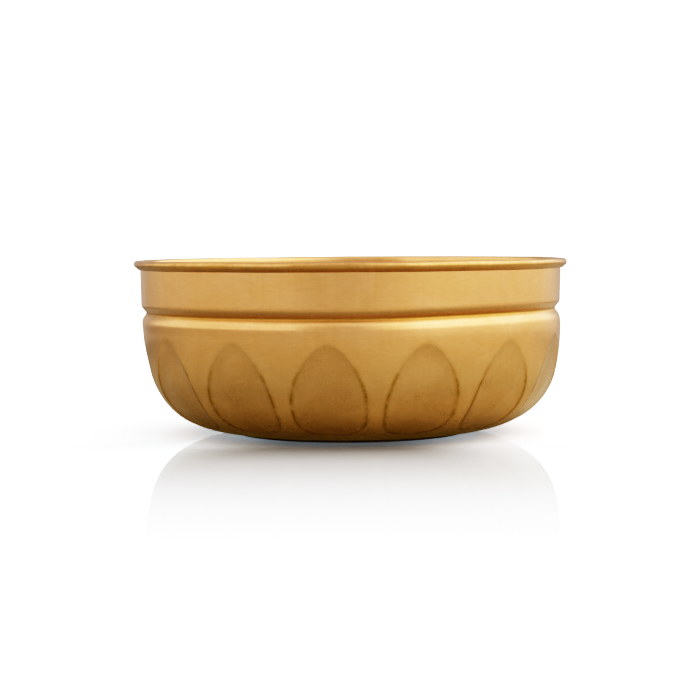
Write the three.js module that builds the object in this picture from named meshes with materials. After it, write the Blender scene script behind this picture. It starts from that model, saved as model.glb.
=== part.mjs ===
// Brass urli bowl: one spun sheet-brass shell with fourteen pressed petals, a rolled groove under a
// straight neck and an edge curled over a wire, standing on a low foot ring that is brazed on.
// Millimetres, +Z up. The origin is on the table, under the bowl's axis, and -Y is the front.
import * as THREE from "three";

const { cos, sin, PI } = Math;
const RAD = PI / 180;

// ---- Driving dimensions ---------------------------------------------------------------------

const HEIGHT = 122.3; // table to the top of the rim
const SHEET = 1; // thickness of the brass sheet

// The sheet's middle line, from the axis outwards. Each bend is a radius and an angle in degrees.
const FLOOR_RADIUS = 81.1;
const FLOOR_LIFT = 2; // table to the underside of the floor
const BELLY_LOW = { radius: 82, angle: 25.6, steps: 4 };
const BELLY_KNUCKLE = { radius: 49.2, angle: 52.1, steps: 7 };
const BELLY_HIGH = { radius: 158.5, angle: 12.3, steps: 4 };

// The groove leans in at GROOVE_LEAN, turns round its bottom and leans out again to the neck.
const GROOVE_LEAN = 38;
const GROOVE_SHOULDER = { radius: 7.5, steps: 2 };
const GROOVE_LOWER_FLANK = 2;
const GROOVE_BOTTOM = { radius: 1.8, steps: 2 };
const GROOVE_UPPER_FLANK = 3.9;
const GROOVE_NECK_EDGE = { radius: 3, steps: 2 };
const NECK_SPLAY = 1; // degrees by which the neck opens towards the rim

// The rim flares a little, then curls outwards over its wire and tucks back against the neck.
const RIM_FLARE = { radius: 7.8, angle: 10, steps: 1 };
const RIM_CURL = { radius: 2.15, angle: 219, steps: 8 };
const RIM_TUCK = 2.95;
const WIRE_RADIUS = 1.5;
const WIRE_SIDES = 10;

// Each petal is an egg-shaped dish, blunt below and narrower above, flat within a steep edge.
const PETALS = 14;
const PETAL_PHASE = -6.3; // degrees from the front to the centre of the first petal
const PETAL_START = 32.6; // from the edge of the floor, along the sheet
const PETAL_LENGTH = 74.6;
const PETAL_WIDEST = 0.48; // share of the length, from its lower end
const PETAL_HALF_WIDTH = 24.6;
const PETAL_DEPTH = 1.4;
const PETAL_FLATNESS = 6;
const PETAL_BLUNTNESS = { below: 2.5, above: 1.65 };

const FOOT_RADIUS = 82;
const FOOT_BORE = 70;
const FOOT_HEIGHT = 1.7;
const FOOT_EDGE_STEPS = 4;

const BRAZE_INSET = 2.5; // from the foot ring's bore to the inner edge of the filler
const BRAZE_FILLET = 1.1; // how far the filler stands out past the foot ring, under the belly
const BRAZE_GAP = 0.02; // clearance to the pieces that it joins

const SEGMENTS = 70; // facets round the axis, five to each petal's share of the belly
const PHASE = PETAL_PHASE * RAD;

// ---- The sheet's middle line ----------------------------------------------------------------

/** A walk along the middle of the sheet, in the plane of radius and height. */
class SheetLine {
  constructor(radius, height) {
    this.radius = radius;
    this.height = height;
    this.heading = 0; // 0 is outwards, 90 degrees is up
    this.length = 0;
    this.stations = [];
    this.mark();
  }

  mark() {
    const { radius, height, heading, length } = this;
    this.stations.push({ radius, height, heading, length });
  }

  straight(length) {
    this.radius += length * cos(this.heading);
    this.height += length * sin(this.heading);
    this.length += length;
    this.mark();
    return this;
  }

  /** An arc that turns towards the axis, or away from it where side is -1. */
  bend({ radius, angle, steps }, side = 1) {
    const turn = (side * angle * RAD) / steps;
    for (let i = 0; i < steps; i++) {
      const next = this.heading + turn;
      this.radius += side * radius * (sin(next) - sin(this.heading));
      this.height += side * radius * (cos(this.heading) - cos(next));
      this.heading = next;
      this.length += (radius * angle * RAD) / steps;
      this.mark();
    }
    return this;
  }

  /** The point at a distance from the line, on the side away from the axis. */
  beside(distance) {
    return offset(this, distance);
  }
}

/** A station's point on the sheet's outer side at a distance, or on the inner side below zero. */
function offset({ radius, height, heading }, distance) {
  return new THREE.Vector2(
    radius + distance * sin(heading),
    height - distance * cos(heading),
  );
}

const neckHeading = (90 - NECK_SPLAY) * RAD;
const flareHeading = neckHeading - RIM_FLARE.angle * RAD;

// From the top of the straight neck to the top of the curl.
const rimRise =
  RIM_FLARE.radius * (cos(flareHeading) - cos(neckHeading)) +
  RIM_CURL.radius * (1 - cos(flareHeading)) +
  SHEET / 2;

const line = new SheetLine(0, FLOOR_LIFT + SHEET / 2);
line.straight(FLOOR_RADIUS);
const petalsFrom = line.length + PETAL_START;
line.bend(BELLY_LOW).bend(BELLY_KNUCKLE).bend(BELLY_HIGH);
line.bend({ ...GROOVE_SHOULDER, angle: GROOVE_LEAN });
line.straight(GROOVE_LOWER_FLANK);
line.bend({ ...GROOVE_BOTTOM, angle: 2 * GROOVE_LEAN }, -1);
line.straight(GROOVE_UPPER_FLANK);
line.bend({ ...GROOVE_NECK_EDGE, angle: GROOVE_LEAN - NECK_SPLAY });
line.straight((HEIGHT - rimRise - line.height) / sin(neckHeading));
line.bend(RIM_FLARE, -1);
const wireCentre = line.beside(RIM_CURL.radius);
line.bend(RIM_CURL, -1).straight(RIM_TUCK);

// ---- Shapes ---------------------------------------------------------------------------------

/** A solid of revolution about +Z from a profile of radius and height. */
function turned(profile) {
  return new THREE.LatheGeometry(profile, SEGMENTS, PHASE).rotateX(PI / 2);
}

/** The same for a ring: its profile closes on itself. */
function turnedRing(profile) {
  return turned([...profile, profile[0].clone()]);
}

/** How deep the petals are pressed in, at a distance along the sheet and an angle round the axis. */
function petalDepth({ length, radius }, angle) {
  const along = (length - petalsFrom) / PETAL_LENGTH - PETAL_WIDEST;
  const reach = along < 0 ? PETAL_WIDEST : 1 - PETAL_WIDEST;
  const power = along < 0 ? PETAL_BLUNTNESS.below : PETAL_BLUNTNESS.above;
  const pitch = (2 * PI) / PETALS;
  const turns = (angle - PHASE) / pitch;
  const across = (turns - Math.round(turns)) * pitch * radius;
  const lengthShare = Math.abs(along) / reach;
  const widthShare = Math.abs(across) / PETAL_HALF_WIDTH;
  const edge = (lengthShare ** power + widthShare ** power) ** (1 / power);
  return PETAL_DEPTH * Math.max(0, 1 - edge ** PETAL_FLATNESS);
}

/** Presses the petals into both sides of the shell, so the sheet keeps its thickness. */
function pressPetals(geometry, stations) {
  const position = geometry.getAttribute("position");
  const point = new THREE.Vector3();
  for (let i = 0; i < position.count; i++) {
    const station = stations[i % stations.length];
    const angle = PHASE + (Math.floor(i / stations.length) / SEGMENTS) * 2 * PI;
    const depth = petalDepth(station, angle);
    const inwards = depth * sin(station.heading);
    point.fromBufferAttribute(position, i);
    point.x -= inwards * sin(angle);
    point.y += inwards * cos(angle);
    point.z += depth * cos(station.heading);
    position.setXYZ(i, point.x, point.y, point.z);
  }
  geometry.computeVertexNormals();
  return geometry;
}

function bowlShell() {
  const outward = line.stations;
  const back = [...line.stations].reverse();
  const profile = [
    ...outward.map((station) => offset(station, SHEET / 2)),
    ...back.map((station) => offset(station, -SHEET / 2)),
  ];
  return pressPetals(turned(profile), [...outward, ...back]);
}

function rimWire() {
  const circle = new THREE.EllipseCurve(
    wireCentre.x,
    wireCentre.y,
    WIRE_RADIUS,
    WIRE_RADIUS,
  );
  return turnedRing(circle.getPoints(WIRE_SIDES).slice(0, WIRE_SIDES));
}

/** A flat ring whose outer lower edge is rounded. */
function footRing() {
  const section = new THREE.Path();
  section.moveTo(FOOT_BORE, FOOT_HEIGHT);
  section.lineTo(FOOT_BORE, 0);
  section.lineTo(FOOT_RADIUS - FOOT_HEIGHT, 0);
  section.absarc(FOOT_RADIUS - FOOT_HEIGHT, FOOT_HEIGHT, FOOT_HEIGHT, -PI / 2, 0);
  return turnedRing(section.getPoints(FOOT_EDGE_STEPS));
}

/** The filler between the foot ring and the shell, with a fillet under the belly. */
function footBraze() {
  const low = FOOT_HEIGHT + BRAZE_GAP;
  const inner = FOOT_BORE + BRAZE_INSET;
  const tip = FOOT_RADIUS + BRAZE_FILLET;
  const belly = BELLY_LOW.radius + SHEET / 2 + BRAZE_GAP;
  const under = (radius) =>
    FLOOR_LIFT - BRAZE_GAP + belly - Math.sqrt(belly ** 2 - (radius - FLOOR_RADIUS) ** 2);
  const middle = (FLOOR_RADIUS + tip) / 2;
  return turnedRing([
    new THREE.Vector2(inner, low),
    new THREE.Vector2(FOOT_RADIUS - BRAZE_GAP, low),
    new THREE.Vector2(tip, under(tip)),
    new THREE.Vector2(middle, under(middle)),
    new THREE.Vector2(FLOOR_RADIUS, under(FLOOR_RADIUS)),
    new THREE.Vector2(inner, FLOOR_LIFT - BRAZE_GAP),
  ]);
}

// ---- Materials and assembly -----------------------------------------------------------------

function metal(color, roughness) {
  return new THREE.MeshStandardMaterial({ color, roughness, metalness: 1 });
}

function piece(name, geometry, material) {
  const mesh = new THREE.Mesh(geometry, material);
  mesh.name = name;
  return mesh;
}

const bowl = new THREE.Group();
bowl.add(piece("bowl_shell", bowlShell(), metal(0xcf9e55, 0.3)));
bowl.add(piece("rim_wire", rimWire(), metal(0x8e8a84, 0.45)));
bowl.add(piece("foot_ring", footRing(), metal(0x9a7436, 0.42)));
bowl.add(piece("foot_braze", footBraze(), metal(0xa98a4c, 0.5)));

export default bowl;
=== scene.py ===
import math
from math import cos, radians, sin

import bpy
import numpy as np
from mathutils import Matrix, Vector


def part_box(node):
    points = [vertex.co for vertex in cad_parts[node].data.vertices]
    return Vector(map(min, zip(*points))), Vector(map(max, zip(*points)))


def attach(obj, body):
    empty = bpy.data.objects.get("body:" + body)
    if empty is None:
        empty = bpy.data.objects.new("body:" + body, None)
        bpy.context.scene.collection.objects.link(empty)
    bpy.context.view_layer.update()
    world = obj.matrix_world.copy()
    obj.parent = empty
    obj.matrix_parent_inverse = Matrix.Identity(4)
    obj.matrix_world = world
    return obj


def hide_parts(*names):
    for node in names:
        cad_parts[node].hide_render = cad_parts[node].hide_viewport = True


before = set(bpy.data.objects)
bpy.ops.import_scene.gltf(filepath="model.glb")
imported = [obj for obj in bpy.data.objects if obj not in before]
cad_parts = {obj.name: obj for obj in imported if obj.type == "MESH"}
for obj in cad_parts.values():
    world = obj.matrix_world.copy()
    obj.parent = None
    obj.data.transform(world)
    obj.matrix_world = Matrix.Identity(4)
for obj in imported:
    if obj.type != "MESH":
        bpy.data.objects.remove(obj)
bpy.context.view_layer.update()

MM = 0.001

# ---- The bowl's shape, in millimetres and degrees -----------------------------------------------

SHEET = 1.0
FLOOR_RADIUS = 81.1
BELLY_LOW = (82.0, 25.6)        # this and the next two are bends: radius and angle
BELLY_KNUCKLE = (49.2, 52.1)
BELLY_HIGH = (158.5, 12.3)
GROOVE_LEAN = 38.0
GROOVE_SHOULDER = 7.5
GROOVE_LOWER_FLANK = 2.0
GROOVE_BOTTOM = 1.8
GROOVE_UPPER_FLANK = 3.9
GROOVE_NECK_EDGE = 3.0
NECK_SPLAY = 1.0
RIM_FLARE = (7.8, 10.0)
RIM_CURL = (2.15, 219.0)
RIM_TUCK = 2.95
WIRE_RADIUS = 1.5

PETALS = 14
PETAL_PHASE = radians(-6.3)
PETAL_START = 32.6              # from the edge of the floor, along the sheet
PETAL_LENGTH = 74.6
PETAL_WIDEST = 0.48             # share of the length, from the lower end
PETAL_HALF_WIDTH = 24.6
PETAL_DEPTH = 1.4
PETAL_FLATNESS = 6.0            # how flat the dish is, and so how steep its edge is
PETAL_POWER_BELOW = 2.5
PETAL_POWER_ABOVE = 1.65
CREASE_SOFTNESS = 0.12          # how far the edge of the dish is rounded, as a share of its depth

# The bowl isn't quite true. Bands are heights: the effect starts, is full, is full, ends.
GROOVE_LIFT = 1.9               # how much higher the hand-rolled groove sits at the right
LIFT_BAND = (66, 78, 93, 105)
LIFT_FULL_AT = 0.83             # sine of the angle from the front where the groove is lifted fully
BELLY_LEAN = 0.7                # how far the belly is off to the right under the neck
LEAN_BAND = (4, 14, 72, 84)
WALL_UNEVEN = {"size": 0.09, "waves": (3, 24), "seed": 11}
CREST_UNEVEN = {"size": 0.05, "waves": (3, 40), "seed": 5}
FOOT_UNEVEN = {"size": 0.03, "waves": (5, 70), "seed": 3}
WALL_FROM = FLOOR_RADIUS + 6    # the radius where the unevenness starts
WALL_FADE = 20                  # from there to where it is full
CREST_FADE = 4                  # along the sheet, from where the rim starts

# Where the masks lie.
CREASE_WIDTH = 1.25
PETAL_EDGE = 1.2                # the width over which a petal's dullness ends
CREASE_CLEAR_OF_RIM = 30        # along the sheet
# The groove, fold and lip masks carry painted shade as well as patina: the groove's is strongest
# at the front.
GROOVE_SHADE_BAND = (84.2, 86.6, 89.5, 93.7)
GROOVE_SHADE_SIDE = 0.25         # share of the groove's painted shade and dullness that is left at the bowl's sides
GROOVE_SHADE_FRONT = 0.95
FOLD_HEIGHT = 85.3
FOLD_WIDTH = 1.5
LIP_TURN = radians(150)         # heading below level at which the lip's painted shade and patina are full

FOOT_BORE = 70.0
FOOT_SOFTNESS = 0.25            # rounding of the foot ring's sharp edges
FOOT_STRIP = 4                  # from each edge to the next point on the ring's flats
FOOT_EDGE_POINTS = 9
BRAZE_INSET = 2.5
BRAZE_GAP = 0.02
BRAZE_OVERLAP = 0.05            # how far the fillet starts inside the foot ring's outer edge

# The mesh: distances between rows along the sheet, and every how many rows the inner skin has one.
ROW_SPACING = {
    "floor": 11, "belly low": 1.6, "belly": 1.15, "shoulder": 0.5, "lower flank": 0.8,
    "groove": 0.35, "upper flank": 0.9, "neck edge": 0.4, "neck": 1.6, "flare": 0.6,
    "curl": 0.35, "tuck": 0.8,
}
INNER_ROW_STEP = 3
RING_COLUMNS = 280
WIRE_SIDES = 14


# ---- The sheet's middle line --------------------------------------------------------------------

class SheetLine:
    """Stations along the middle of the sheet: radius, height, heading and length so far."""

    def __init__(self, height):
        self.rows = [(0.0, height, 0.0, 0.0)]

    def straight(self, length, spacing):
        r, z, heading, so_far = self.rows[-1]
        steps = max(1, round(length / spacing))
        for i in range(1, steps + 1):
            d = length * i / steps
            self.rows.append((r + d * cos(heading), z + d * sin(heading), heading, so_far + d))

    def bend(self, radius, angle, spacing):
        """Turns towards the axis, or away from it where the angle is negative."""
        r, z, heading, so_far = self.rows[-1]
        side = math.copysign(1, angle)
        length = radius * radians(abs(angle))
        steps = max(2, round(length / spacing))
        for i in range(1, steps + 1):
            new = heading + radians(angle) * i / steps
            self.rows.append((
                r + side * radius * (sin(new) - sin(heading)),
                z + side * radius * (cos(heading) - cos(new)),
                new,
                so_far + length * i / steps,
            ))

    def here(self):
        return self.rows[-1]


def rim_rise():
    """Height from the top of the straight neck to the top of the curl."""
    neck = radians(90 - NECK_SPLAY)
    flare = neck - radians(RIM_FLARE[1])
    return RIM_FLARE[0] * (cos(flare) - cos(neck)) + RIM_CURL[0] * (1 - cos(flare)) + SHEET / 2


def sheet_line():
    """The middle line, with the index of the row where the rim starts and the wire's centre."""
    low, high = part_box("bowl_shell")
    line = SheetLine(low.z / MM + SHEET / 2)
    line.straight(FLOOR_RADIUS, ROW_SPACING["floor"])
    line.bend(*BELLY_LOW, ROW_SPACING["belly low"])
    line.bend(*BELLY_KNUCKLE, ROW_SPACING["belly"])
    line.bend(*BELLY_HIGH, ROW_SPACING["belly"])
    line.bend(GROOVE_SHOULDER, GROOVE_LEAN, ROW_SPACING["shoulder"])
    line.straight(GROOVE_LOWER_FLANK, ROW_SPACING["lower flank"])
    line.bend(GROOVE_BOTTOM, -2 * GROOVE_LEAN, ROW_SPACING["groove"])
    line.straight(GROOVE_UPPER_FLANK, ROW_SPACING["upper flank"])
    line.bend(GROOVE_NECK_EDGE, GROOVE_LEAN - NECK_SPLAY, ROW_SPACING["neck edge"])
    neck_rise = high.z / MM - rim_rise() - line.here()[1]
    line.straight(neck_rise / sin(radians(90 - NECK_SPLAY)), ROW_SPACING["neck"])
    rim_from = len(line.rows) - 1
    line.bend(RIM_FLARE[0], -RIM_FLARE[1], ROW_SPACING["flare"])
    r, z, heading, _ = line.here()
    wire = (r + RIM_CURL[0] * sin(heading), z - RIM_CURL[0] * cos(heading))
    line.bend(RIM_CURL[0], -RIM_CURL[1], ROW_SPACING["curl"])
    line.straight(RIM_TUCK, ROW_SPACING["tuck"])
    return np.array(line.rows), rim_from, wire


# ---- Petals -------------------------------------------------------------------------------------

HALF_PITCH = math.pi / PETALS
INSIDE = np.array([0, 0.2, 0.38, 0.54, 0.68, 0.8, 0.89, 0.955, 0.987])  # columns: centre to edge
OUTSIDE = np.array([0, 0.06, 0.2, 0.45, 0.72])                          # and edge to next petal
NARROWEST = radians(3)          # the least half width of the columns that belong to a petal
EVEN_AFTER = 12                 # past a petal's end, the length over which columns spread evenly
FADE_REACH = 0.5                # how far past the outline the soft press has faded out, as a share


def petal_shares(length):
    """Where a row lies along a petal: the share of the way to its tip, and the outline's power."""
    along = (length - FLOOR_RADIUS - PETAL_START) / PETAL_LENGTH - PETAL_WIDEST
    below = along < 0
    share = np.abs(along) / np.where(below, PETAL_WIDEST, 1 - PETAL_WIDEST)
    return share, np.where(below, PETAL_POWER_BELOW, PETAL_POWER_ABOVE)


def column_angles(radius, length):
    """Angles of the columns of each row. One column follows the petal's edge, so its crease is
    crisp, and above and below the petals the columns spread out evenly again."""
    share, power = petal_shares(length)
    outline = PETAL_HALF_WIDTH * np.clip(1 - share ** power, 0, 1) ** (1 / power)
    edge = outline / np.maximum(radius, 1)
    beyond = np.clip((share - 1) * PETAL_LENGTH / 2 / EVEN_AFTER, 0, 1)
    even = HALF_PITCH * len(INSIDE) / (len(INSIDE) + len(OUTSIDE))
    spread = NARROWEST + (even - NARROWEST) * beyond ** 2 * (3 - 2 * beyond)
    edge = np.where(share < 1, np.maximum(edge, NARROWEST), spread)[:, None]
    inside = edge * INSIDE
    outside = edge + (HALF_PITCH - edge) * OUTSIDE
    web = np.full_like(edge, HALF_PITCH)
    right = np.hstack([inside, outside])
    left = -np.hstack([inside[:, 1:], outside])[:, ::-1]
    one = np.hstack([left, right, web])
    return np.hstack([one + PETAL_PHASE + 2 * HALF_PITCH * k for k in range(PETALS)])


def petal_press(radius, length, angle):
    """How deep each point is pressed in, and how far it is from the petal's edge, in mm."""
    share, power = petal_shares(length[:, None])
    turns = (angle - PETAL_PHASE) / (2 * HALF_PITCH)
    across = np.abs(turns - np.round(turns)) * 2 * HALF_PITCH * radius[:, None]
    edge = (share ** power + (across / PETAL_HALF_WIDTH) ** power) ** (1 / power)
    dish = 1 - edge ** PETAL_FLATNESS
    soft = 0.5 * (dish + np.sqrt(dish ** 2 + CREASE_SOFTNESS ** 2))
    fade = np.clip(1 + FADE_REACH - edge, 0, FADE_REACH) / FADE_REACH
    return PETAL_DEPTH * soft * fade, (edge - 1) * PETAL_HALF_WIDTH


# ---- Meshes -------------------------------------------------------------------------------------

WAVE_COUNT = 28
WAVE_SLANT = 0.05               # how much the waves shift with height, radians to the mm
WAVE_FALLOFF = 0.7              # how much weaker the short waves are


def unevenness(angle, height, size, waves, seed):
    """A smooth wobble round the bowl, from waves of fixed random place and slant."""
    rng = np.random.default_rng(seed)
    total = np.zeros_like(angle)
    for _ in range(WAVE_COUNT):
        around = rng.integers(*waves)
        up = rng.normal(0, WAVE_SLANT)
        start = rng.uniform(0, 2 * math.pi)
        total += np.sin(around * angle + up * height + start) / around ** WAVE_FALLOFF
    return size * total / np.std(total)


def smooth(value, low, high):
    """Rises smoothly from 0 at low to 1 at high."""
    t = np.clip((value - low) / (high - low), 0, 1)
    return t * t * (3 - 2 * t)


def in_band(value, band):
    """1 between the band's two middle values, fading to 0 at its outer ones."""
    return smooth(value, band[0], band[1]) * smooth(value, band[3], band[2])


def to_points(radius, height, angle):
    """Points in metres. The front, at angle zero, is -Y."""
    return np.stack([radius * np.sin(angle), -radius * np.cos(angle), height], axis=-1) * MM


def mesh_object(name, points, faces, masks=None):
    """A smooth-shaded object, with a named value at each vertex for each mask."""
    mesh = bpy.data.meshes.new(name)
    mesh.from_pydata(points.tolist(), [], faces)
    for mask, values in (masks or {}).items():
        layer = mesh.attributes.new(mask, "FLOAT", "POINT")
        layer.data.foreach_set("value", values.astype(np.float32))
    mesh.shade_smooth()
    mesh.validate()
    piece = bpy.data.objects.new(name, mesh)
    bpy.context.scene.collection.objects.link(piece)
    return piece


def grid_faces(rows, columns, closed):
    """Quads between the rows of a grid whose columns go round the axis."""
    faces = []
    for i in range(rows if closed else rows - 1):
        below, above = i * columns, (i + 1) % rows * columns
        for j in range(columns):
            k = (j + 1) % columns
            faces.append((below + j, below + k, above + k, above + j))
    return faces


def turned_ring(name, section, uneven=None):
    """A ring from a closed section of radius and height, a little uneven if asked."""
    section = np.array(section)
    angle = np.linspace(0, 2 * math.pi, RING_COLUMNS, endpoint=False)[None, :]
    radius, height = section[:, :1], section[:, 1:]
    angles, heights = angle + 0 * radius, height + 0 * angle
    shift = unevenness(angles, heights, **uneven) if uneven else 0
    points = to_points(radius + shift + 0 * angle, heights, angles)
    faces = grid_faces(len(section), RING_COLUMNS, closed=True)
    return mesh_object(name, points.reshape(-1, 3), faces)


def shell_masks(skins, side, angle, from_edge, from_rim):
    """Where the creases, petals, groove, fold, lip and outer skin are: a value at each point. The
    groove, fold and lip values paint shade as well as patina.
    """
    high, heading = skins[:, 1, None] + 0 * angle, skins[:, 2, None] + 0 * angle
    outside = side > 0
    # The groove's painted shade and dullness are strongest where the groove faces the front.
    facing = smooth(np.cos(angle) ** 2, 0.1, 0.5)
    share = GROOVE_SHADE_SIDE + (GROOVE_SHADE_FRONT - GROOVE_SHADE_SIDE) * facing
    return {
        "crease": np.exp(-(from_edge / CREASE_WIDTH) ** 2) * (from_rim < -CREASE_CLEAR_OF_RIM),
        "petal": np.clip(0.5 - from_edge / PETAL_EDGE, 0, 1),
        "groove": share * outside * in_band(high, GROOVE_SHADE_BAND),
        # painted shade and stain along the groove's fold
        "fold_shade_and_stain": outside * np.exp(-((high - FOLD_HEIGHT) / FOLD_WIDTH) ** 2),
        # painted shade and patina on the curl's underside
        "lip_shade_and_patina": np.clip(-heading / LIP_TURN, 0, 1) * (from_rim > 0),
        "outside": outside + 0 * angle,
    }


def bowl_shell(rows, rim_from):
    """The whole sheet: its outer skin up and round the curl, then its inner skin back down."""
    outer = rows[1:]
    kept = [i for i in range(1, len(rows)) if i % INNER_ROW_STEP == 1 or i >= rim_from]
    inner = rows[kept][::-1]
    skins = np.vstack([outer, inner])
    side = np.hstack([np.full(len(outer), 0.5), np.full(len(inner), -0.5)])[:, None] * SHEET
    radius, height, heading, length = (skins[:, k] for k in range(4))
    angle = column_angles(radius, length)
    depth, from_edge = petal_press(radius, length, angle)
    out_r, out_z = np.sin(heading)[:, None], -np.cos(heading)[:, None]
    high = height[:, None] + 0 * angle
    push = side - depth
    from_rim = (length - rows[rim_from, 3])[:, None]
    wall = np.clip((radius - WALL_FROM) / WALL_FADE, 0, 1)[:, None]
    wobble = wall * unevenness(angle, high, **WALL_UNEVEN)
    crest = np.clip(from_rim / CREST_FADE, 0, 1) * unevenness(angle, high * 0, **CREST_UNEVEN)
    lift = smooth(np.sin(angle), 0, LIFT_FULL_AT) * in_band(high, LIFT_BAND) * GROOVE_LIFT
    points = to_points(
        radius[:, None] + push * out_r + wobble,
        high + push * out_z + crest + lift,
        angle,
    )
    points[..., 0] += BELLY_LEAN * MM * in_band(high, LEAN_BAND)

    rows_used, columns = angle.shape
    faces = grid_faces(rows_used, columns, closed=False)
    bottom, top = rows_used * columns, rows_used * columns + 1
    last = (rows_used - 1) * columns
    for j in range(columns):
        k = (j + 1) % columns
        faces.append((bottom, k, j))
        faces.append((top, last + j, last + k))
    middle, half = rows[0, 1] * MM, SHEET / 2 * MM
    centres = [[0, 0, middle - half], [0, 0, middle + half]]
    masks = {
        name: np.append(values.ravel(), [name == "outside", 0])
        for name, values in shell_masks(skins, side, angle, from_edge, from_rim).items()
    }
    return mesh_object("shell", np.vstack([points.reshape(-1, 3), centres]), faces, masks)


def circle(centre, radius, sides):
    """A closed section for a round wire."""
    turn = np.linspace(0, 2 * math.pi, sides, endpoint=False)
    return np.stack([centre[0] + radius * np.cos(turn), centre[1] + radius * np.sin(turn)], axis=1)


def foot_section():
    """The foot ring's section: a flat strip with its outer lower edge rounded."""
    _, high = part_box("foot_ring")
    outside, height = high.x / MM, high.z / MM
    turn = np.linspace(-math.pi / 2, 0, FOOT_EDGE_POINTS)
    edge = np.stack([outside - height + height * np.cos(turn), height + height * np.sin(turn)], 1)
    return np.vstack([
        [FOOT_BORE, height - FOOT_SOFTNESS],
        [FOOT_BORE, FOOT_SOFTNESS],
        [FOOT_BORE + FOOT_SOFTNESS, 0],
        [FOOT_BORE + FOOT_STRIP, 0],
        edge,
        [outside - FOOT_STRIP, height],
        [FOOT_BORE + FOOT_STRIP, height],
        [FOOT_BORE + FOOT_SOFTNESS, height],
    ])


def braze_section():
    """The filler between the foot ring and the shell, with a hollow fillet under the belly."""
    low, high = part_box("foot_braze")
    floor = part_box("bowl_shell")[0].z / MM
    bottom, tip = low.z / MM, high.x / MM
    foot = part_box("foot_ring")[1].x / MM
    belly = BELLY_LOW[0] + SHEET / 2

    def under(radius):
        rise = belly - math.sqrt(belly ** 2 - max(radius - FLOOR_RADIUS, 0) ** 2)
        return floor - BRAZE_GAP + rise

    inner = FOOT_BORE + BRAZE_INSET
    start = foot - BRAZE_OVERLAP
    fillet = [
        (start + (tip - foot) * t, bottom + (under(tip) - bottom) * t ** 2)
        for t in np.linspace(0, 1, 5)
    ]
    top = [(r, under(r)) for r in np.linspace(tip, inner, 6)[1:]]
    return [(inner, bottom)] + fillet + top


# ---- Materials ----------------------------------------------------------------------------------

class Nodes:
    """A node tree, built by adding nodes whose inputs are values or other nodes' outputs."""

    def __init__(self, owner):
        owner.use_nodes = True
        self.tree = owner.node_tree
        self.tree.nodes.clear()

    def add(self, kind, inputs=None, **settings):
        node = self.tree.nodes.new(kind)
        for key, value in settings.items():
            setattr(node, key, value)
        for key, value in (inputs or {}).items():
            if isinstance(value, bpy.types.NodeSocket):
                self.tree.links.new(value, node.inputs[key])
            else:
                node.inputs[key].default_value = value
        return node

    def math(self, operation, *values):
        return self.add("ShaderNodeMath", dict(enumerate(values)), operation=operation).outputs[0]

    def product(self, first, *others):
        for other in others:
            first = self.math("MULTIPLY", first, other)
        return first

    def most(self, first, *others):
        for other in others:
            first = self.math("MAXIMUM", first, other)
        return first

    def grey(self, value):
        return self.add("ShaderNodeCombineColor", {0: value, 1: value, 2: value}).outputs[0]

    def ramp(self, value, low, high, to_low=0.0, to_high=1.0):
        """value's range from low to high, taken smoothly to the range from to_low to to_high."""
        node = self.add("ShaderNodeMapRange", {
            "Value": value, "From Min": low, "From Max": high,
            "To Min": to_low, "To Max": to_high,
        }, interpolation_type="SMOOTHSTEP")
        return node.outputs["Result"]

    def blend(self, share, a, b, mode="MIX"):
        node = self.add("ShaderNodeMix", {0: share, 6: a, 7: b}, data_type="RGBA", blend_type=mode)
        return node.outputs[2]

    def noise(self, vector, scale, detail=4.0, roughness=0.55, distortion=0.0):
        node = self.add("ShaderNodeTexNoise", {
            "Vector": vector, "Scale": scale, "Detail": detail,
            "Roughness": roughness, "Distortion": distortion,
        })
        return node.outputs["Fac"]

    def mask(self, name):
        return self.add("ShaderNodeAttribute", attribute_name=name).outputs["Fac"]

    def place(self):
        """The point on the object, and its angle, height and distance from the axis."""
        point = self.add("ShaderNodeTexCoord").outputs["Object"]
        split = self.add("ShaderNodeSeparateXYZ", {0: point}).outputs
        angle = self.math("ARCTAN2", split[0], self.math("MULTIPLY", split[1], -1.0))
        across, ahead = self.math("POWER", split[0], 2.0), self.math("POWER", split[1], 2.0)
        return point, angle, split[2], self.math("SQRT", self.math("ADD", across, ahead))

    def stretched(self, angle, height, radius, round_scale, up_scale):
        """A vector for marks that are drawn out round the bowl or up it, without a seam."""
        turn_x = self.math("MULTIPLY", self.math("SINE", angle), round_scale)
        turn_y = self.math("MULTIPLY", self.math("COSINE", angle), round_scale)
        rise = self.math("MULTIPLY", self.math("ADD", height, radius), up_scale)
        return self.add("ShaderNodeCombineXYZ", {0: turn_x, 1: turn_y, 2: rise}).outputs[0]

    def bump(self, height, strength, distance):
        inputs = {"Height": height, "Strength": strength, "Distance": distance}
        return self.add("ShaderNodeBump", inputs).outputs["Normal"]


class Material(Nodes):
    """A material, whose nodes end in one Principled shader."""

    def __init__(self, name):
        self.material = bpy.data.materials.new(name)
        super().__init__(self.material)

    def finish(self, inputs):
        shader = self.add("ShaderNodeBsdfPrincipled", inputs)
        self.add("ShaderNodeOutputMaterial", {"Surface": shader.outputs[0]})
        return self.material


BRASS = (0.80, 0.448, 0.2, 1)
BRASS_WARM = (0.75, 0.41, 0.165, 1)
# The next two colours are patina and stain, and also painted shade in the groove, under the lip
# and near the foot.
PATINA_AND_SHADE = (0.6, 0.315, 0.125, 1)
STAIN_AND_SHADE = (0.4, 0.2, 0.02, 1)
EDGE_TINT = (0.99, 0.96, 0.92, 1)
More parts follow.
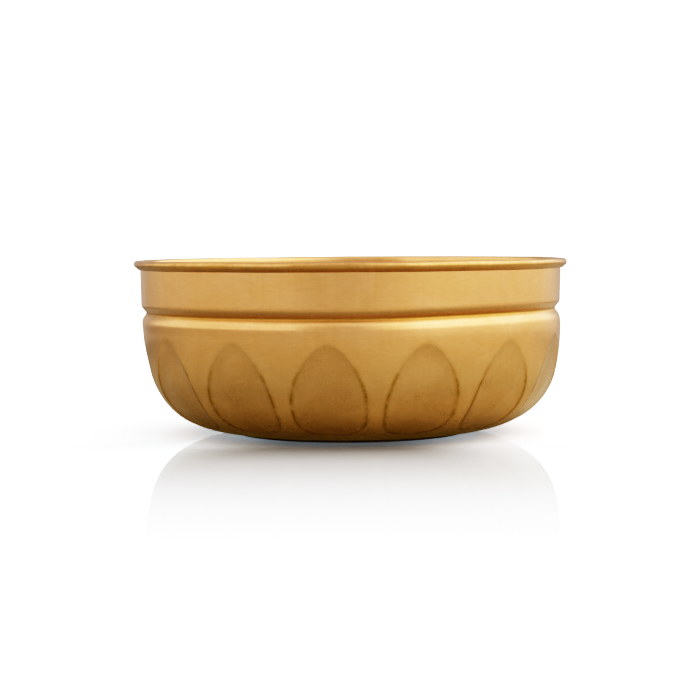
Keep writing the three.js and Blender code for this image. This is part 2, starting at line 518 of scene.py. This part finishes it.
# The foot ring's two colours are painted dark, as shade under the bowl.
FOOT_SHADE_DARK = (0.2, 0.1, 0.012, 1)
FOOT_SHADE_WORN = (0.3, 0.17, 0.035, 1)
FILLER_DARK = (0.05, 0.025, 0.008, 1)
FILLER_BARE = (0.3, 0.19, 0.07, 1)
STEEL_DARK = (0.2, 0.18, 0.16, 1)
STEEL_BARE = (0.38, 0.36, 0.34, 1)

# Heights in metres. Each effect fades in or out from the first to the second.
BELLY_DULL_BELOW = (0.084, 0.076)
CREASE_STAIN_BELOW = (0.062, 0.042)
# painted shade near the foot, as brown on the belly
FOOT_SHADE_BELOW = (0.02, 0.004)


def dullness_and_shade(m, point, height, outside, clouds, blotches):
    """How dull the brass is: uneven in the petals, even in the groove and spotted on the lip. In
    the groove and on the lip this is painted shade as well as patina.
    """
    broad = m.noise(point, 11, 2)
    hollow = m.math("ADD", m.product(clouds, 0.5), m.product(broad, 0.5))
    hollow = m.product(m.mask("petal"), m.ramp(hollow, 0.35, 0.65, 0.72, 0.2))
    belly = m.product(outside, m.ramp(height, *BELLY_DULL_BELOW, 0, 0.15))
    # the lip's underside: spotted patina, and painted shade
    worn_and_shaded_lip = m.product(m.ramp(m.mask("lip_shade_and_patina"), 0.05, 0.3), m.ramp(blotches, 0.35, 0.65, 1.0, 0.5))
    return m.most(hollow, m.mask("groove"), belly, worn_and_shaded_lip)


def staining_and_shade(m, height, outside, clouds, blotches):
    """How much brown is painted: patina in the creases, painted shade and stain in the groove's
    fold, painted shade by the foot and under the lip.
    """
    crease = m.product(
        m.mask("crease"),
        m.ramp(blotches, 0.3, 0.6, 0.2, 1.0),
        m.ramp(height, *CREASE_STAIN_BELOW, 0.08, 1.0),
        outside,
    )
    # painted shade near the foot, mottled
    low = m.product(m.ramp(height, *FOOT_SHADE_BELOW), m.ramp(clouds, 0.3, 0.7, 0.5, 0.2))
    # painted shade on the lip's underside, mottled
    under_lip_shade = m.math("ADD", m.mask("lip_shade_and_patina"), m.ramp(clouds, 0.35, 0.65, 0.1, -0.1))
    under_lip_shade = m.ramp(under_lip_shade, 0.4, 0.72, 0, 0.38)
    # the fold's brown is painted shade as well as stain
    return m.most(crease, low, under_lip_shade, m.product(m.mask("fold_shade_and_stain"), 0.75))


def polished_brass():
    """Polished on the webs and the neck, duller in the petals, the groove and on the lip, with
    brown patina left along the creases of the petals. The groove and the lip also carry painted
    shade, and the brown round the foot is painted shade."""
    m = Material("polished_brass")
    point, angle, height, radius = m.place()
    outside = m.mask("outside")
    clouds = m.noise(point, 38, 4, 0.6, 0.6)
    blotches = m.noise(point, 130, 4, 0.65)
    around = m.noise(m.stretched(angle, height, radius, 22, 900), 1.0, 3, 0.7)
    upright = m.noise(m.stretched(angle, height, radius, 130, 26), 1.0, 3, 0.7)
    dull_and_shaded = dullness_and_shade(m, point, height, outside, clouds, blotches)
    stain_and_shade = staining_and_shade(m, height, outside, clouds, blotches)

    colour = m.blend(m.ramp(clouds, 0.32, 0.68), BRASS_WARM, BRASS)
    colour = m.blend(dull_and_shaded, colour, PATINA_AND_SHADE)
    colour = m.blend(stain_and_shade, colour, STAIN_AND_SHADE)
    lines = m.math("ADD", m.product(around, 0.6), m.product(upright, 0.4))
    colour = m.blend(1.0, colour, m.grey(m.ramp(lines, 0.3, 0.7, 0.94, 1.06)), "MULTIPLY")

    rough = m.math("ADD", m.ramp(clouds, 0.3, 0.7, 0.26, 0.2), m.product(dull_and_shaded, 0.04))
    rough = m.math("ADD", rough, m.product(stain_and_shade, 0.2))
    return m.finish({
        "Base Color": colour,
        "Metallic": 1.0,
        "Roughness": rough,
        "Specular Tint": EDGE_TINT,
    })


def foot_brass():
    """Unpolished brass, turned, mottled, and painted dark as shade under the bowl."""
    m = Material("foot_brass")
    point, angle, height, radius = m.place()
    wear = m.noise(point, 70, 5, 0.65)
    turned = m.noise(m.stretched(angle, height, radius, 4, 2200), 1.0, 2)
    return m.finish({
        "Base Color": m.blend(m.ramp(wear, 0.35, 0.7), FOOT_SHADE_DARK, FOOT_SHADE_WORN),
        "Metallic": 1.0,
        "Roughness": m.ramp(wear, 0.3, 0.7, 0.55, 0.36),
        "Normal": m.bump(turned, 0.15, 0.0003),
    })


def braze_filler():
    """Dull grainy filler, with dark flux left in its low spots."""
    m = Material("braze_filler")
    point = m.place()[0]
    grain = m.noise(point, 420, 5, 0.7)
    return m.finish({
        "Base Color": m.blend(m.ramp(grain, 0.35, 0.7), FILLER_DARK, FILLER_BARE),
        "Metallic": 1.0,
        "Roughness": m.ramp(grain, 0.3, 0.7, 0.65, 0.42),
        "Normal": m.bump(grain, 0.5, 0.0006),
    })


def rim_wire_steel():
    """Drawn steel, with fine lines along the wire."""
    m = Material("rim_wire_steel")
    point, angle, height, radius = m.place()
    drawn = m.noise(m.stretched(angle, height, radius, 8, 3000), 1.0, 3)
    return m.finish({
        "Base Color": m.blend(drawn, STEEL_DARK, STEEL_BARE),
        "Metallic": 1.0,
        "Roughness": m.ramp(drawn, 0.3, 0.7, 0.5, 0.35),
        "Normal": m.bump(drawn, 0.2, 0.0002),
    })


def stand_for(piece, node, material):
    """Puts the finished piece in the place of its CAD node."""
    piece.data.materials.append(material)
    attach(piece, "root")
    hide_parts(node)


# ---- Studio -------------------------------------------------------------------------------------

CAMERA_DISTANCE = 1.419
CAMERA_HEIGHT = 0.1412
CAMERA_PITCH = 3.37
CAMERA_ROLL = 0.4
CAMERA_LENS = 103.0
CAMERA_SENSOR = 36.0

TABLE_RADIUS = 0.9
TABLE_SIDES = 96
TABLE_SINK = 0.0001             # keeps the table's face just clear of the foot's
# The table is painted darker near the bowl, as shade, for rays that leave the bowl.
TABLE_NEAR_SHADED = (0.58, 0.63, 0.55, 1)
TABLE_FAR = (0.72, 0.72, 0.63, 1)
# a painted bluish glow that lifts the table's shadows for the camera
TABLE_GLOW = (0.21, 0.3, 0.37, 1)
TABLE_WHITE = 3.0               # as the camera sees it, away from the mirror image and in it
TABLE_WHITE_IN_MIRROR = 1.9
# a painted warm glow on the table near the bowl, as the brass sees it
UNDER_BOWL_GLOW = (0.085, 0.085, 0.03, 1)
MIRROR_TINT = (0.86, 0.95, 1, 1)
MIRROR_CENTRE = radians(-5)     # the mirror image is strongest here, and fades out to both sides
MIRROR_SIDES = (radians(18), radians(66))
BLACK = (0, 0, 0, 1)

BACKGROUND = 3.0                # plain white, past what the tone curve shows as white

TONE_MIDDLE = 0.5
TONE_POWER = 1.8
TONE_WHITE = 2.2
TONE_POINTS = (0.03, 0.08, 0.16, 0.26, 0.38, 0.52, 0.7, 0.95, 1.25, 1.65)


def studio_camera():
    data = bpy.data.cameras.new("studio_camera")
    data.sensor_width = CAMERA_SENSOR
    data.lens = CAMERA_LENS
    camera = bpy.data.objects.new("studio_camera", data)
    camera.location = (0, -CAMERA_DISTANCE, CAMERA_HEIGHT)
    camera.rotation_euler = (radians(90 - CAMERA_PITCH), radians(CAMERA_ROLL), 0)
    bpy.context.scene.collection.objects.link(camera)
    bpy.context.scene.camera = camera


def mirror_share(m, x, ahead, far):
    """How much the table mirrors: it starts at the foot, and fades to the front and the sides."""
    turn = m.math("SUBTRACT", m.math("ARCTAN2", x, ahead), MIRROR_CENTRE)
    return m.product(
        m.ramp(far, 0.07, 0.083),
        m.ramp(ahead, 0.085, 0.125, 0.62, 0.82),
        m.ramp(ahead, 0.11, 0.2, 1.0, 0.88),
        m.ramp(ahead, 0.15, 0.58, 1.0, 0.04),
        m.ramp(m.math("ABSOLUTE", turn), *MIRROR_SIDES, 1.0, 0.1),
    )


def table_in_brass(m, x, ahead, far):
    """The table's colour as the brass shows it, with painted shade near the bowl, at the left and
    behind, and painted light to the right.
    """
    shaded = m.product(m.ramp(x, -0.1, -0.22), m.ramp(ahead, 0.02, -0.1))
    lit = m.product(
        m.ramp(x, -0.5, 0.5, 0.84, 1.16),
        m.ramp(ahead, -0.5, 0.0, 0.62, 1.0),
        m.ramp(shaded, 0.0, 1.0, 1.0, 0.84),
    )
    colour = m.blend(m.ramp(far, 0.2, 0.42), TABLE_NEAR_SHADED, TABLE_FAR)
    return m.blend(1.0, colour, m.grey(lit), "MULTIPLY")


def studio_floor():
    """A round white table. The bowl's mirror image in it fades out towards the front. Rays that
    leave the bowl find the table a little darker than the camera does, with painted shade near the
    bowl and a painted warm glow under it; the camera sees a painted bluish glow lifting the
    table's shadows."""
    bpy.ops.mesh.primitive_circle_add(vertices=TABLE_SIDES, radius=TABLE_RADIUS, fill_type="NGON")
    table = bpy.context.object
    table.name = "studio_table"
    table.location.z = -TABLE_SINK
    m = Material("studio_table")
    by_camera = m.add("ShaderNodeLightPath").outputs["Is Camera Ray"]
    point = m.add("ShaderNodeTexCoord").outputs["Object"]
    split = m.add("ShaderNodeSeparateXYZ", {0: point}).outputs
    ahead = m.math("MULTIPLY", split[1], -1.0)
    far = m.add("ShaderNodeVectorMath", {0: point}, operation="LENGTH").outputs["Value"]

    share = mirror_share(m, split[0], ahead, far)
    white = m.grey(m.ramp(share, 0.0, 0.12, TABLE_WHITE, TABLE_WHITE_IN_MIRROR))
    seen = m.blend(by_camera, table_in_brass(m, split[0], ahead, far), white)
    # painted warm glow under the bowl for rays from the brass, painted bluish glow for the camera
    under = m.blend(m.ramp(far, 0.19, 0.12), BLACK, UNDER_BOWL_GLOW)
    glow = m.blend(by_camera, under, TABLE_GLOW)
    plain = m.add("ShaderNodeBsdfDiffuse", {"Color": seen}).outputs[0]
    glow = m.add("ShaderNodeEmission", {"Color": glow}).outputs[0]
    plain = m.add("ShaderNodeAddShader", {0: plain, 1: glow}).outputs[0]
    mirror = m.add("ShaderNodeBsdfGlossy", {"Color": MIRROR_TINT, "Roughness": 0.0}).outputs[0]
    share = m.product(share, by_camera)
    mixed = m.add("ShaderNodeMixShader", {0: share, 1: plain, 2: mirror}).outputs[0]
    m.add("ShaderNodeOutputMaterial", {"Surface": mixed})
    table.data.materials.append(m.material)


def studio_world():
    """White where the camera looks past the bowl. Round the bowl, soft even light with a large
    softbox at each side."""
    world = bpy.data.worlds.new("studio")
    bpy.context.scene.world = world
    n = Nodes(world)
    direction = n.add("ShaderNodeTexCoord").outputs["Generated"]
    x, y, z = n.add("ShaderNodeSeparateXYZ", {0: direction}).outputs
    azimuth = n.math("ARCTAN2", x, n.math("MULTIPLY", y, -1.0))
    rise = n.math("ARCSINE", z)

    def fade(value, edge, to_low=0.0, to_high=1.0):
        return n.ramp(value, radians(edge[0]), radians(edge[1]), to_low, to_high)

    def softbox(brightness, left, right, low, high):
        """Brightness within a window, whose edges are pairs of angles in degrees."""
        sides = n.product(fade(azimuth, left), fade(azimuth, right, 1, 0))
        return n.product(sides, fade(rise, low), fade(rise, high, 1, 0), brightness)

    room = n.product(
        fade(rise, (30, 70), 0.74, 1.05),
        fade(n.math("ABSOLUTE", azimuth), (115, 150), 1, 0.76),
    )
    light = n.math("ADD", room, softbox(0.6, (-145, -125), (-35, -20), (-1, 3), (45, 65)))
    light = n.math("ADD", light, softbox(1.65, (0, 48), (140, 160), (-11, 20), (55, 75)))
    above = n.math("POWER", n.math("MAXIMUM", z, 0.0), 2.0)
    overhead = n.product(above, 2.0, n.ramp(x, -1, 1, 0.5, 1.5))

    ray = n.add("ShaderNodeLightPath").outputs
    direct = n.most(ray["Is Camera Ray"], ray["Is Singular Ray"])
    glossy = ray["Is Glossy Ray"]
    strength = n.add("ShaderNodeMix", {0: glossy, 2: overhead, 3: light}).outputs[0]
    strength = n.add("ShaderNodeMix", {0: direct, 2: strength, 3: BACKGROUND}).outputs[0]
    shader = n.add("ShaderNodeBackground", {"Color": (1, 1, 1, 1), "Strength": strength})
    n.add("ShaderNodeOutputWorld", {0: shader.outputs[0]})


def tone_curve():
    """A camera's tone curve, which presses shadows and highlights together."""
    view = bpy.context.scene.view_settings
    view.view_transform = "Standard"
    view.use_curve_mapping = True
    mapping = view.curve_mapping
    mapping.clip_max_x = TONE_WHITE
    curve = mapping.curves[3]
    top = 1 + (TONE_MIDDLE / TONE_WHITE) ** TONE_POWER

    def shown(light):
        return top / (1 + (TONE_MIDDLE / light) ** TONE_POWER)

    curve.points[0].location = (0, 0)
    curve.points[1].location = (TONE_WHITE, 1)
    for light in TONE_POINTS:
        curve.points.new(light, shown(light))
    mapping.update()


def main():
    rows, rim_from, wire = sheet_line()
    shell = bowl_shell(rows, rim_from)
    stand_for(shell, "bowl_shell", polished_brass())
    ring = turned_ring("wire", circle(wire, WIRE_RADIUS, WIRE_SIDES))
    stand_for(ring, "rim_wire", rim_wire_steel())
    foot = turned_ring("foot", foot_section(), FOOT_UNEVEN)
    stand_for(foot, "foot_ring", foot_brass())
    braze = turned_ring("braze", braze_section())
    stand_for(braze, "foot_braze", braze_filler())
    studio_camera()
    studio_floor()
    studio_world()
    tone_curve()


main()
